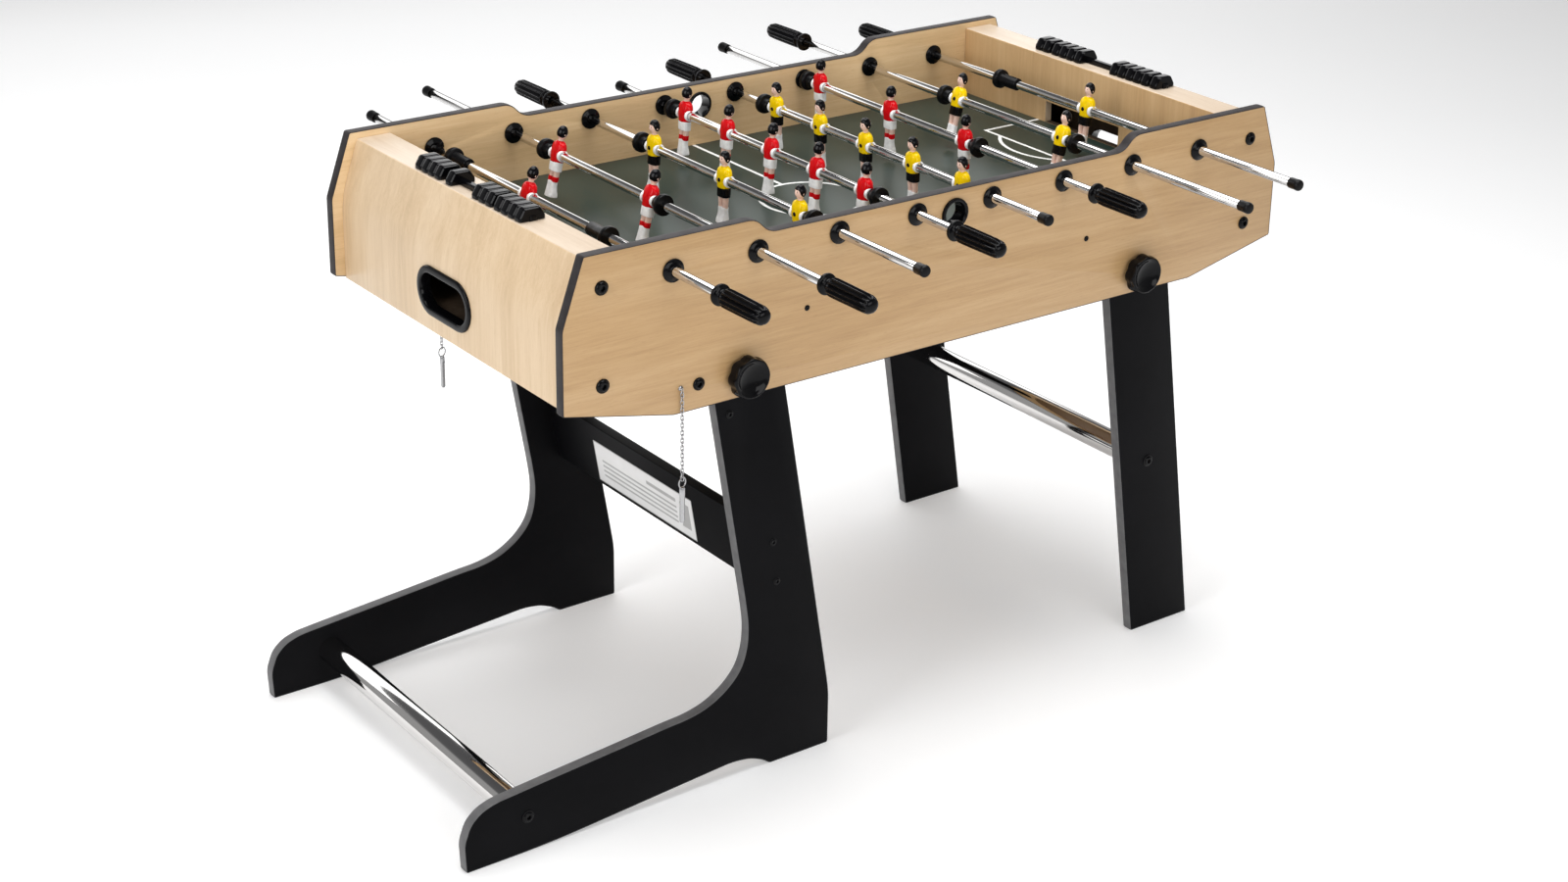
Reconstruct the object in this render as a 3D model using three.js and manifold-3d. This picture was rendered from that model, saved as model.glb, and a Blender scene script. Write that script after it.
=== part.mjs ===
// Folding foosball table: a wooden cabinet with eight player rods, standing on a pair of
// L-shaped foot legs and a pair of straight prop legs.  Millimetres, +Z up, floor at z = 0.
// X runs along the pitch, -Y is the side with the red team's handles.
import * as THREE from 'three';
import * as BufferGeometryUtils from 'three/addons/utils/BufferGeometryUtils.js';
import Module from 'manifold-3d';

const wasm = await Module();
wasm.setup();

// ---- driving dimensions -------------------------------------------------------------
const GAP = 0.3;                 // between pieces that touch

// cabinet
const CABINET_WIDTH = 610;       // over the outer faces of the side panels
const BOARD = 15;                // side panels and legs
const PANEL_TOP = 806;           // raised ends of the side panels
const PANEL_MID_TOP = 785;       // lower middle part of the side panels
const PANEL_BOTTOM = 570;
const PANEL_WIDEST = 605.5;      // half length at the bend
const BEND_Z = 716;
const END_BOARD = 12;            // boards of the end boxes
const END_FACE = 590;            // outer face of the end box from the table's middle
const SHELF_TOP = 796;
const SHELF_EDGE = 563;          // outer edge of the shelf
const GOAL_WALL = 512;           // pitch side of the goal wall
const END_BOTTOM = 600;
const TRAY_TOP = 628;            // floor of the ball pocket
const PITCH_TOP = 692;
const PITCH_BOARD = 12;
const MOUTH = { width: 164, height: 33, y: 10 };
const RETURN_HOLE = { width: 120, height: 51, z: 657.5, leftY: 10, rightY: -1 };
const ENTRY_HOLE = { radius: 18, z: 752 };

// rods and players
const ROD_Z = 763;
const ROD_PITCH = 127.4;
const ROD_RADIUS = 6.3;
const ROD_WALL = 1.2;
const ROD_HOLE = 7.6;
const STOP_FACE = 283;           // inner face of the rod bearings
const HANDLE_STANDOFF = 367;     // handle flange when the rod is pushed right in
const CAP_STANDOFF = 356.5;      // far rod tip when the rod is pulled right out
const HANDLE_LENGTH = 95;
// stop: half length of the players and bumpers on the rod; rest: where the rod stands;
// lean: degrees about the rod, heads towards +X; trim: how much less the near end stands out
const RODS = [
  { team: 'red', players: 1, pitch: 0, stop: 200, rest: 37, lean: 15, trim: 8 },
  { team: 'red', players: 2, pitch: 231, stop: 150, rest: 54, lean: 14 },
  { team: 'yellow', players: 3, pitch: 171, stop: 206, rest: -49, lean: 2 },
  { team: 'red', players: 5, pitch: 106.5, stop: 248, rest: 20, lean: 5 },
  { team: 'yellow', players: 5, pitch: 106.5, stop: 248, rest: -31, lean: -2 },
  { team: 'red', players: 3, pitch: 171, stop: 206, rest: 75, lean: 0 },
  { team: 'yellow', players: 2, pitch: 231, stop: 150, rest: -43, lean: 13 },
  { team: 'yellow', players: 1, pitch: 0, stop: 200, rest: -71, lean: 8, trim: 9 },
];

// legs
const LEG_OUTER = 282;           // outer face of the leg boards
const PIVOT = { x: 340, z: 602 };
const BOLT_RADIUS = 4;
const TUBE_RADIUS = 19;
const FOOT_TUBE = { x: -656, z: 52 };
const PROP_TUBE = { x: 413, z: 281 };
const STRETCHER = { x: -268, z: 307, height: 100, lean: 9.9 };
const KNOB = { radius: 28.5, lobes: 8, depth: 24 };

// score counters
const COUNTER = { pitch: 17, length: 16.2, width: 38, height: 17 };
const RAIL = { x: 541, half: 137, width: 10, height: 7.6 };

// lock pins on chains
const CHAIN = { x: -435, top: 608, ring: 476, pinBottom: 421, farDrop: 28 };

// middle of the overall box in the cabinet's coordinates
const MIDDLE = { x: -72, y: 5.5 };

// ---- derived ------------------------------------------------------------------------
const OUTER = CABINET_WIDTH / 2;
const INNER = OUTER - BOARD;
const LEG_INNER = LEG_OUTER - BOARD;
const rodX = RODS.map((_, i) => (i - 3.5) * ROD_PITCH);
const rad = THREE.MathUtils.degToRad;

// ---- helpers ------------------------------------------------------------------------
// closed outline in x and z, carried along y from y0 to y1
function prism(points, y0, y1, holes = []) {
  const shape = new THREE.Shape(points.map(([x, z]) => new THREE.Vector2(x, z)));
  shape.holes = holes.map(([x, z, r, n]) => {
    const path = new THREE.Path();
    const ring = [...Array(n).keys()].map((k) => {
      const a = (2 * Math.PI * (k + 0.5)) / n;
      return new THREE.Vector2(x + r * Math.cos(a), z + r * Math.sin(a));
    });
    return path.setFromPoints(ring);
  });
  const g = new THREE.ExtrudeGeometry(shape, { depth: y1 - y0, bevelEnabled: false, steps: 1 });
  return g.rotateX(Math.PI / 2).translate(0, y1, 0);
}

function box(x0, x1, y0, y1, z0, z1) {
  return new THREE.BoxGeometry(x1 - x0, y1 - y0, z1 - z0)
    .translate((x0 + x1) / 2, (y0 + y1) / 2, (z0 + z1) / 2);
}

// cylinder lying along y
function rodBar(radius, y0, y1, segments = 16) {
  return new THREE.CylinderGeometry(radius, radius, y1 - y0, segments)
    .translate(0, (y0 + y1) / 2, 0);
}

// profile of [radius, y] pairs, closed on itself or on the axis, turned about y
function turned(profile, segments) {
  return new THREE.LatheGeometry(profile.map(([r, y]) => new THREE.Vector2(r, y)), segments);
}

function toManifold(geometry) {
  const g = geometry.clone();
  g.deleteAttribute('normal');
  g.deleteAttribute('uv');
  const m = BufferGeometryUtils.mergeVertices(g, 1e-4);
  return new wasm.Manifold(new wasm.Mesh({
    numProp: 3,
    vertProperties: new Float32Array(m.attributes.position.array),
    triVerts: new Uint32Array(m.index.array),
  }));
}

function fromManifold(manifold) {
  const mesh = manifold.getMesh();
  const g = new THREE.BufferGeometry();
  g.setAttribute('position', new THREE.BufferAttribute(new Float32Array(mesh.vertProperties), 3));
  g.setIndex(new THREE.BufferAttribute(new Uint32Array(mesh.triVerts), 1));
  g.computeVertexNormals();
  return g;
}

// the added pieces joined into one, with the cut pieces taken away
function solid(added, cut = []) {
  let m = added.map(toManifold).reduce((a, b) => a.add(b));
  for (const c of cut) m = m.subtract(toManifold(c));
  return fromManifold(m);
}

function lens(width, height, n = 8) {
  const r = height / 2;
  const c = width / 2 - r;
  const arc = (cx, a0) => [...Array(n + 1).keys()].map((k) => {
    const a = a0 + (Math.PI * k) / n;
    return new THREE.Vector2(cx + r * Math.cos(a), r * Math.sin(a));
  });
  return new THREE.Shape([...arc(c, -Math.PI / 2), ...arc(-c, Math.PI / 2)]);
}

const finish = {
  beech: { color: 0xd9b583, roughness: 0.5, metalness: 0 },
  paleBeech: { color: 0xe6cda4, roughness: 0.5, metalness: 0 },
  pitch: { color: 0x3f5049, roughness: 0.55, metalness: 0 },
  blackBoard: { color: 0x17171a, roughness: 0.45, metalness: 0 },
  chrome: { color: 0xd8d9dc, roughness: 0.15, metalness: 1 },
  blackPlastic: { color: 0x151517, roughness: 0.4, metalness: 0 },
  red: { color: 0xc81e1e, roughness: 0.35, metalness: 0 },
  yellow: { color: 0xe8c21a, roughness: 0.35, metalness: 0 },
};
const materials = Object.fromEntries(
  Object.entries(finish).map(([name, f]) => [name, new THREE.MeshStandardMaterial(f)]));

const table = new THREE.Group();
table.name = 'foosball_table';
table.position.set(-MIDDLE.x, -MIDDLE.y, 0);

function add(name, geometry, material, x = 0, y = 0, z = 0) {
  const mesh = new THREE.Mesh(geometry, materials[material]);
  mesh.name = name;
  mesh.position.set(x, y, z);
  table.add(mesh);
}

// near is -Y, far is +Y
const SIDES = [['near', -1], ['far', 1]];
// the two board faces of a piece whose outer face is `outer` from the middle
const slab = (side, outer, inner) => (side < 0 ? [-outer, -inner] : [inner, outer]);

// ---- side panels --------------------------------------------------------------------
function panelOutline() {
  // S-curve between the raised end and the lower middle, then the raised end itself
  const step = [];
  for (let k = 0; k <= 8; k += 1) {
    const t = k / 8;
    const ease = t * t * (3 - 2 * t);
    step.push([294 + 34 * t, PANEL_MID_TOP + (PANEL_TOP - PANEL_MID_TOP) * ease]);
  }
  const right = [...step, [570, PANEL_TOP], [575, 803], [PANEL_WIDEST, BEND_Z],
    [606, END_BOTTOM + 5], [445, PANEL_BOTTOM]];
  const left = [...right].reverse().map(([x, z]) => [-x, z]);
  return [...right, ...left];
}
const panelHoles = [
  ...rodX.map((x) => [x, ROD_Z, ROD_HOLE, 8]),
  [0, ENTRY_HOLE.z, ENTRY_HOLE.radius, 20],
  [-PIVOT.x, PIVOT.z, BOLT_RADIUS + 0.6, 8],
  [PIVOT.x, PIVOT.z, BOLT_RADIUS + 0.6, 8],
];
for (const [name, side] of SIDES) {
  add(`side_panel_${name}`, prism(panelOutline(), ...slab(side, OUTER, INNER), panelHoles),
    'beech');
}

// ---- end boxes: outer board, shelf, goal wall and pocket floor -----------------------
function endBox(side) {
  const t = END_BOARD;
  const outline = [[END_FACE, END_BOTTOM], [END_FACE, BEND_Z], [SHELF_EDGE, SHELF_TOP],
    [GOAL_WALL, SHELF_TOP], [GOAL_WALL, TRAY_TOP - t], [END_FACE - t, TRAY_TOP - t],
    [END_FACE - t, END_BOTTOM]];
  const pocket = [[END_FACE - t, TRAY_TOP], [END_FACE - t, BEND_Z - 2],
    [SHELF_EDGE - t + 4, SHELF_TOP - t], [GOAL_WALL + t, SHELF_TOP - t], [GOAL_WALL + t, TRAY_TOP]];
  const flip = (points) => points.map(([x, z]) => [side * x, z]);
  const span = INNER - GAP;
  const mouthX = [side * (GOAL_WALL - 1), side * (GOAL_WALL + t + 1)].sort((a, b) => a - b);
  const mouth = box(...mouthX, MOUTH.y - MOUTH.width / 2, MOUTH.y + MOUTH.width / 2,
    PITCH_TOP, PITCH_TOP + MOUTH.height);
  const holeY = side < 0 ? RETURN_HOLE.leftY : RETURN_HOLE.rightY;
  const hole = new THREE.ExtrudeGeometry(lens(RETURN_HOLE.width, RETURN_HOLE.height),
    { depth: t + 6, bevelEnabled: false })
    .rotateX(Math.PI / 2).rotateZ(Math.PI / 2)
    .translate(side * (END_FACE - t / 2) - (t + 6) / 2, holeY, RETURN_HOLE.z);
  return solid([prism(flip(outline), -span, span)],
    [prism(flip(pocket), -span - 1, span + 1), mouth, hole]);
}
add('end_box_left', endBox(-1), 'paleBeech');
add('end_box_right', endBox(1), 'paleBeech');

// ---- pitch ---------------------------------------------------------------------------
add('playfield', box(-GOAL_WALL + GAP, GOAL_WALL - GAP, -INNER + GAP, INNER - GAP,
  PITCH_TOP - PITCH_BOARD, PITCH_TOP), 'pitch');

// ---- score counters --------------------------------------------------------------------
const counterProfile = (slot) => {
  const w = COUNTER.width / 2;
  const s = RAIL.width / 2 + 0.6;
  const z = SHELF_TOP + GAP;
  const under = slot ? [[-s, z], [-s, z + RAIL.height + 0.4], [s, z + RAIL.height + 0.4], [s, z]]
    : [];
  return [[-w, z], ...under, [w, z], [w, z + 5], [w - 7, z + COUNTER.height],
    [-w + 7, z + COUNTER.height], [-w, z + 5]];
};
// blocks of counters as [first y, how many], the sliding one by its own y
const SCORES = {
  left: { side: -1, blocks: [[-136, 4], [-64, 3], [67, 4]], slider: 38 },
  right: { side: 1, blocks: [[-135, 1], [-116, 5], [49, 3], [103, 2]], slider: 32 },
};
for (const [name, { side, blocks, slider }] of Object.entries(SCORES)) {
  const z = SHELF_TOP + GAP;
  const bar = box(-RAIL.width / 2, RAIL.width / 2, -RAIL.half, RAIL.half, z, z + RAIL.height);
  const fixed = blocks.flatMap(([y, n]) => [...Array(n).keys()].map((k) => {
    const y0 = y + k * COUNTER.pitch;
    return prism(counterProfile(false), y0, y0 + COUNTER.length);
  }));
  add(`score_rail_${name}`, solid([bar, ...fixed]), 'blackPlastic', side * RAIL.x);
  add(`score_counter_${name}`, prism(counterProfile(true), slider, slider + COUNTER.length),
    'blackPlastic', side * RAIL.x);
}

// ---- lock pins on their chains ---------------------------------------------------------
for (const [name, side] of SIDES) {
  const links = [];
  const drop = name === 'far' ? CHAIN.farDrop : 0;
  const ringZ = CHAIN.ring - drop;
  for (let k = 0, z = CHAIN.top; z > ringZ + 8; k += 1, z -= 18) {
    const [a, b] = k % 2 ? [2.2, 0.9] : [0.9, 2.2];
    links.push(box(-a, a, -b, b, Math.max(z - 20, ringZ + 4), z));
  }
  const ring = turned([[4.6, -1], [7, -1], [7, 1], [4.6, 1], [4.6, -1]], 10)
    .translate(0, 0, ringZ);
  const pinLength = CHAIN.ring - 4 - CHAIN.pinBottom;
  const pin = new THREE.CylinderGeometry(3.6, 3.6, pinLength, 8)
    .rotateX(Math.PI / 2).translate(0, 0, ringZ - 4 - pinLength / 2);
  add(`lock_pin_${name}`, solid([...links, ring, pin]), 'chrome', CHAIN.x, side * (OUTER + 4));
}

// ---- legs ------------------------------------------------------------------------------
const boltHole = (x) => [x, PIVOT.z, BOLT_RADIUS + 0.6, 8];
const footOutline = [[-748, 0], [-750, 42], [-740, 68], [-724, 82], [-702, 89], [-624, 96],
  [-517, 105], [-440, 112], [-405, 114], [-372, 122], [-342, 140], [-322, 162], [-313, 190],
  [-311, 222], [-316, 258], [-331, 344], [-377, 610], [-370, 626], [-352, 636], [-298, 636],
  [-280, 628], [-268, 612], [-262, 594], [-255, 556], [-178, 112], [-173, 82], [-173, 0],
  [-273, 0], [-285, 9], [-306, 18], [-334, 22], [-441, 14], [-626, 0]];
for (const [name, side] of SIDES) {
  add(`foot_leg_${name}`, prism(footOutline, ...slab(side, LEG_OUTER, LEG_INNER),
    [boltHole(-PIVOT.x)]), 'blackBoard');
}
const propOutline = [[403, 0], [519, 0], [422, 600], [416, 618], [400, 632], [380, 636],
  [330, 636], [312, 628], [305, 612], [306, 598]];
for (const [name, side] of SIDES) {
  add(`prop_leg_${name}`, prism(propOutline, ...slab(side, LEG_OUTER, LEG_INNER),
    [boltHole(PIVOT.x)]), 'blackBoard');
}
const between = LEG_INNER - GAP;
add('foot_tube', rodBar(TUBE_RADIUS, -between, between, 20), 'chrome', FOOT_TUBE.x, 0,
  FOOT_TUBE.z);
add('prop_tube', rodBar(TUBE_RADIUS, -between, between, 20), 'chrome', PROP_TUBE.x, 0,
  PROP_TUBE.z);
add('foot_stretcher', box(-BOARD / 2, BOARD / 2, -between, between, -STRETCHER.height / 2,
  STRETCHER.height / 2).rotateY(-rad(STRETCHER.lean)), 'blackBoard', STRETCHER.x, 0, STRETCHER.z);

// ---- knobs, each with its bolt through the panel and the leg -----------------------------
function knob(side) {
  const rim = (r, n) => [...Array(n).keys()].map((k) => {
    const a = (2 * Math.PI * k) / n;
    const lobe = r - 1.6 + 1.6 * Math.cos(KNOB.lobes * a);
    return [lobe * Math.cos(a), lobe * Math.sin(a)];
  });
  const n = KNOB.lobes * 3;
  const face = OUTER + GAP;
  const body = prism(rim(KNOB.radius, n), face + 6, face + KNOB.depth - 4);
  const lip = prism(rim(KNOB.radius - 2, n), face + KNOB.depth - 5, face + KNOB.depth);
  const hub = rodBar(14, face, face + 7, 10);
  const bolt = rodBar(BOLT_RADIUS, LEG_INNER - 6, face + 2, 8);
  const dish = turned([[0, 0], [0, -6], [22, 0], [0, 0]], 12)
    .translate(0, face + KNOB.depth + 0.01, 0);
  const g = solid([body, lip, hub, bolt], [dish]);
  return side < 0 ? g.rotateZ(Math.PI) : g;
}
for (const [name, side] of SIDES) {
  add(`knob_foot_${name}`, knob(side), 'blackPlastic', -PIVOT.x, 0, PIVOT.z);
  add(`knob_prop_${name}`, knob(side), 'blackPlastic', PIVOT.x, 0, PIVOT.z);
}

// ---- player figure about the rod axis, facing +X -----------------------------------------
function player() {
  const front = (points, depth, x = 0) => {
    const shape = new THREE.Shape(points.map(([y, z]) => new THREE.Vector2(y, z)));
    return new THREE.ExtrudeGeometry(shape, { depth, bevelEnabled: false })
      .rotateX(Math.PI / 2).rotateZ(Math.PI / 2).translate(x - depth / 2, 0, 0);
  };
  const even = (points) => [...points, ...[...points].reverse().map(([y, z]) => [-y, z])];
  const shirt = front(even([[9.5, -11], [11, -4], [12.5, 9], [11, 15], [6, 19]]), 16.6);
  const shorts = front(even([[9.5, -23], [10, -16], [9.5, -10]]), 12);
  const legs = front(even([[8, -36], [8.5, -21]]), 9);
  const foot = prism([[-6, -60], [7.5, -60], [7.5, -52], [5, -33], [-5, -33], [-6, -52]], -9, 9);
  const neck = new THREE.CylinderGeometry(4.2, 4.8, 8, 6).rotateX(Math.PI / 2)
    .translate(0, 0, 20);
  const head = new THREE.SphereGeometry(7.8, 8, 5).rotateX(Math.PI / 2).scale(1.05, 0.95, 1.2)
    .translate(0.5, 0, 28.5);
  return solid([shirt, shorts, legs, foot, neck, head],
    [rodBar(ROD_RADIUS + 2 * GAP, -20, 20, 8)]);
}
const figure = player();

// ---- rods ----------------------------------------------------------------------------
RODS.forEach((rod, i) => {
  const n = i + 1;
  const hand = rod.team === 'red' ? -1 : 1;        // the side the handle is on
  const travel = STOP_FACE - rod.stop;
  const trim = rod.trim ?? 0;
  const flange = HANDLE_STANDOFF + travel - (hand < 0 ? trim : 0);
  const tip = CAP_STANDOFF + travel - (hand > 0 ? trim : 0);
  const x = rodX[i];

  const r = ROD_RADIUS;
  const end = flange + HANDLE_LENGTH - 14;
  const tube = turned([[r - ROD_WALL, -tip], [r, -tip], [r, end], [r - ROD_WALL, end],
    [r - ROD_WALL, -tip]], 12);
  if (hand < 0) tube.rotateX(Math.PI);
  add(`rod_${n}_tube`, tube, 'chrome', x, rod.rest, ROD_Z);

  const bore = ROD_RADIUS + 2 * GAP;
  const L = HANDLE_LENGTH;
  const grip = turned([[bore, 0], [15, 0], [15, 5], [10, 10], [12.5, 18], [12.5, L - 12],
    [8.5, L - 2], [0, L], [0, L - 12], [bore, L - 12], [bore, 0]], 12)
    .translate(0, flange, 0);
  if (hand < 0) grip.rotateX(Math.PI);
  add(`rod_${n}_handle`, grip, 'blackPlastic', x, rod.rest, ROD_Z);

  for (let k = 0; k < rod.players; k += 1) {
    const offset = ((rod.players - 1) / 2 - k) * rod.pitch;
    const g = figure.clone();
    if (rod.team === 'yellow') g.rotateZ(Math.PI);
    g.rotateY(rad(rod.lean));
    add(`rod_${n}_player_${k + 1}`, g, rod.team, x, rod.rest + offset, ROD_Z);
  }
});

export default table;
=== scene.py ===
"""Folding foosball table: the looks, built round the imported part.

Shapes are worked out in millimetres from the cabinet's middle (X along the pitch, -Y the near
side, Z up from the floor) and put into the part's frame, in metres, when each mesh is made.
"""
import math

import bmesh
import bpy
import numpy as np
from mathutils import Matrix, Vector


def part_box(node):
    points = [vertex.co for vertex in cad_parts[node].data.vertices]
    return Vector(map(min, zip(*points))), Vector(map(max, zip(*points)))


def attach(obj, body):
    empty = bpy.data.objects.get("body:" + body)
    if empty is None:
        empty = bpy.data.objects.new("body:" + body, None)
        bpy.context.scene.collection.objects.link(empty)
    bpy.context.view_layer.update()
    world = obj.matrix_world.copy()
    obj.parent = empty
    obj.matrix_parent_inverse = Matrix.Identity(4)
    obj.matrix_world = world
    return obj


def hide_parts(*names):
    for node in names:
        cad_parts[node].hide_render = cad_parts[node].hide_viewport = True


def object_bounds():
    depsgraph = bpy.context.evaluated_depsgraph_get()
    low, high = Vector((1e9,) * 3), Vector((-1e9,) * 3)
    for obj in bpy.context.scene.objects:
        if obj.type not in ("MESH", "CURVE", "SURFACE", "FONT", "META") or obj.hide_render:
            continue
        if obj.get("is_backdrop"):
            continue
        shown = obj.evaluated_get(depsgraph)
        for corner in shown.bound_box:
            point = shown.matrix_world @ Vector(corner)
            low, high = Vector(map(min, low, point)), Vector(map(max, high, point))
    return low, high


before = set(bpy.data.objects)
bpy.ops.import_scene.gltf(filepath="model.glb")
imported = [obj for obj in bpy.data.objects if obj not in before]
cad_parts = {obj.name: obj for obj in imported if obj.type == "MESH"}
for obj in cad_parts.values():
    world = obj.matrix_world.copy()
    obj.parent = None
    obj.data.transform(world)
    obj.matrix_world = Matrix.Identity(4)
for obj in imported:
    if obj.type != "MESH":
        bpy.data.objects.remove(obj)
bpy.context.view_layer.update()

near_low, near_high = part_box("side_panel_near")
far_low, far_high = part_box("side_panel_far")
MIDDLE = np.array([(near_low.x + near_high.x) / 2, (near_low.y + far_high.y) / 2, 0.0])

# ---- dimensions, mm ------------------------------------------------------------------
OUTER, INNER = 305.0, 290.0          # faces of the side panels
PANEL_MIDDLE = (OUTER + INNER) / 2
PANEL_TOP, PANEL_MID_TOP, PANEL_BOTTOM = 806.0, 785.0, 570.0
END_FACE, SHELF_EDGE, GOAL_WALL = 590.0, 563.0, 512.0
SHELF_TOP, END_BOTTOM, TRAY_TOP, PITCH_TOP = 796.0, 600.0, 628.0, 692.0
END_BOARD = 12.0                     # thickness of the end boxes' boards
RETURN_WIDTH, RETURN_HEIGHT, RETURN_Z = 120.0, 51.0, 657.5
ENTRY_RADIUS, ENTRY_Z = 17.2, 752.0
PIVOT_X, PIVOT_Z, PIVOT_RADIUS = 340.0, 602.0, 4.5
ROD_Z, ROD_PITCH, ROD_RADIUS, ROD_HOLE = 763.0, 127.4, 6.3, 7.6
STOP_FACE, HANDLE_STANDOFF, CAP_STANDOFF = 283.0, 367.0, 356.5
CAP_LENGTH = 19.0
LEG_OUTER, LEG_INNER = 282.0, 267.0
STRETCHER_X, STRETCHER_Z, STRETCHER_LEAN = -268.0, 307.0, -9.9
RAIL_X = 541.0                       # the score rails, from the middle
CHAIN_X, CHAIN_Y = -435.0, 309.0
EDGE_BAND = 0.9                      # thickness of the bands on the boards' edges
PROUD = 0.05                         # gap that keeps two faces from lying in one plane
# team, players, spacing on the rod, half length to the bumpers' outer faces, rest place, lean,
# how much less the near end stands out
RODS = [
    ("red", 1, 0.0, 200.0, 37.0, 15.0, 8.0),
    ("red", 2, 231.0, 150.0, 54.0, 14.0, 0.0),
    ("yellow", 3, 171.0, 206.0, -49.0, 2.0, 0.0),
    ("red", 5, 106.5, 248.0, 20.0, 5.0, 0.0),
    ("yellow", 5, 106.5, 248.0, -31.0, -2.0, 0.0),
    ("red", 3, 171.0, 206.0, 75.0, 0.0, 0.0),
    ("yellow", 2, 231.0, 150.0, -43.0, 13.0, 0.0),
    ("yellow", 1, 0.0, 200.0, -71.0, 8.0, 9.0),
]
ROD_X = (np.arange(8) - 3.5) * ROD_PITCH
SIDES = (("near", -1), ("far", 1))


# ---- surfaces ------------------------------------------------------------------------
def skin(points, around=False, along=False):
    """Quads between neighbouring points of a (u, v, 3) array; around closes u, along closes v."""
    nu, nv = points.shape[:2]
    i, j = np.meshgrid(np.arange(nu if around else nu - 1), np.arange(nv if along else nv - 1),
                       indexing="ij")
    i2, j2 = (i + 1) % nu, (j + 1) % nv
    quads = np.stack([i * nv + j, i2 * nv + j, i2 * nv + j2, i * nv + j2], -1)
    return points.reshape(-1, 3), quads.reshape(-1, 4).tolist()


def capped(points):
    """A skin closed round u whose first and last rings of v are filled with one face each."""
    vertices, faces = skin(points, around=True)
    m, k = points.shape[:2]
    return vertices, faces + [[i * k for i in range(m)], [i * k + k - 1 for i in reversed(range(m))]]


def together(*surfaces):
    """Several (points, faces) surfaces as one."""
    points, faces, base = [], [], 0
    for p, f in surfaces:
        points.append(p)
        faces += [[k + base for k in face] for face in f]
        base += len(p)
    return np.concatenate(points), faces


def moved(surface, x=0.0, y=0.0, z=0.0, lean=0.0, spin=0.0):
    """The surface turned by spin degrees about Z, then lean degrees about Y, then shifted."""
    p, f = surface
    s, c = math.sin(math.radians(spin)), math.cos(math.radians(spin))
    p = p @ np.array([[c, s, 0], [-s, c, 0], [0, 0, 1]])
    s, c = math.sin(math.radians(lean)), math.cos(math.radians(lean))
    p = p @ np.array([[c, 0, -s], [0, 1, 0], [s, 0, c]])
    return p + np.array([x, y, z]), f


def eased(corners, reach, n=6):
    """Closed outline through the corners, each one rounded by a parabola that starts `reach`
    from it, or at 0.49 of its shorter side if that is nearer."""
    c = np.asarray(corners, float)
    before, after = np.roll(c, 1, 0) - c, np.roll(c, -1, 0) - c
    lb, la = np.linalg.norm(before, axis=1), np.linalg.norm(after, axis=1)
    d = np.minimum(np.broadcast_to(np.asarray(reach, float), len(c)), 0.49 * np.minimum(lb, la))
    a = c + before * (d / np.maximum(lb, 1e-9))[:, None]
    b = c + after * (d / np.maximum(la, 1e-9))[:, None]
    t = np.linspace(0, 1, n + 1)[None, :, None]
    p = (1 - t) ** 2 * a[:, None] + 2 * t * (1 - t) * c[:, None] + t**2 * b[:, None]
    p = p.reshape(-1, 2)
    return p[np.linalg.norm(p - np.roll(p, 1, 0), axis=1) > 1e-4]


def flow(points, n):
    """n points along a Catmull-Rom curve through the given ones."""
    p = np.asarray(points, float)
    q = np.vstack([2 * p[0] - p[1], p, 2 * p[-1] - p[-2]])
    s = np.linspace(0, len(p) - 1 - 1e-9, n)
    k = s.astype(int)
    t = (s - k)[:, None]
    a, b, c, d = q[k], q[k + 1], q[k + 2], q[k + 3]
    return 0.5 * (2 * b + (c - a) * t + (2 * a - 5 * b + 4 * c - d) * t**2
                  + (3 * b - a - 3 * c + d) * t**3)


def normals(loop):
    """Outward unit normals of a closed loop, with the mitre's extra length at its corners."""
    area = np.sum(loop[:, 0] * np.roll(loop[:, 1], -1) - np.roll(loop[:, 0], -1) * loop[:, 1])
    e = np.roll(loop, -1, 0) - loop
    e /= np.maximum(np.linalg.norm(e, axis=1), 1e-9)[:, None]
    side = np.stack([e[:, 1], -e[:, 0]], 1) * np.sign(area)
    n = side + np.roll(side, 1, 0)
    n /= np.maximum(np.linalg.norm(n, axis=1), 1e-9)[:, None]
    return n / np.maximum(np.sum(n * side, axis=1), 0.5)[:, None]


def board(outline, y0, y1, ease=0.6):
    """An (x, z) outline carried along y; its rim is drawn in by `ease` at both faces."""
    n = normals(outline)
    y = np.array([y0, y0 + 0.3 * ease, y0 + ease, y1 - ease, y1 - 0.3 * ease, y1])
    inset = np.array([ease, 0.3 * ease, 0, 0, 0.3 * ease, ease])
    xz = outline[:, None, :] - n[:, None, :] * inset[None, :, None]
    return capped(np.stack([xz[..., 0], np.broadcast_to(y, xz.shape[:2]), xz[..., 1]], -1))


def banded(outline, section):
    """A closed (outward, y) section carried round an (x, z) outline."""
    n = normals(outline)
    s = np.asarray(section, float)
    xz = outline[:, None, :] + n[:, None, :] * s[None, :, :1]
    p = np.stack([xz[..., 0], np.broadcast_to(s[:, 1], xz.shape[:2]), xz[..., 1]], -1)
    return skin(p, around=True, along=True)


def turned(profile, x=0.0, y=0.0, z=0.0, n=40, closed=False, flip=False):
    """A (radius, y) profile turned about the Y line through (x, z); flip mirrors it in y."""
    p = np.asarray(profile, float)
    a = np.linspace(0, 2 * np.pi, n, endpoint=False)[:, None]
    s = -1.0 if flip else 1.0
    q = np.stack([x + p[:, 0] * np.cos(a), np.broadcast_to(y + s * p[:, 1], (n, len(p))),
                  z + p[:, 0] * np.sin(a)], -1)
    return skin(q, around=True, along=closed)


def bore(radius, x, z, y0, y1, n):
    """A plain cylinder along y that sticks 3 mm out of both faces of a board, to cut a hole."""
    return turned([(0, y0 - 3), (radius, y0 - 3), (radius, y1 + 3), (0, y1 + 3)], x, 0, z, n)


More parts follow.
